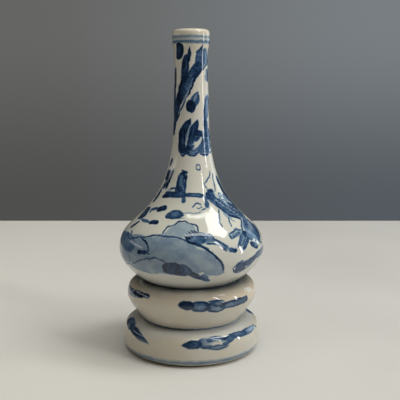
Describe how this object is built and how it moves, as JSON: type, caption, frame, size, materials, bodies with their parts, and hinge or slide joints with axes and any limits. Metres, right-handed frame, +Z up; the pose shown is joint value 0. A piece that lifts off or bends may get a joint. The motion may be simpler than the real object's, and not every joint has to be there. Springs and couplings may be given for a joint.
{
  "type": "triple-gourd vase",
  "caption": "Hollow porcelain vase of stacked round bulbs under a long slender neck with a rolled lip, painted in blue under the glaze and standing on a turned foot ring.",
  "frame": {"origin": "middle of the foot ring, in the plane that the vase stands on", "axes": "+Z up along the axis of the neck and the bulbs; -Y is the side that the picture shows"},
  "size_m": [0.0778, 0.0778, 0.17],
  "materials": {
    "porcelain": "clear, warm white glaze over cobalt-blue brush painting; the edge of the foot ring is bare"
  },
  "bodies": {
    "root": {"vase": "porcelain"}
  },
  "joints": []
}
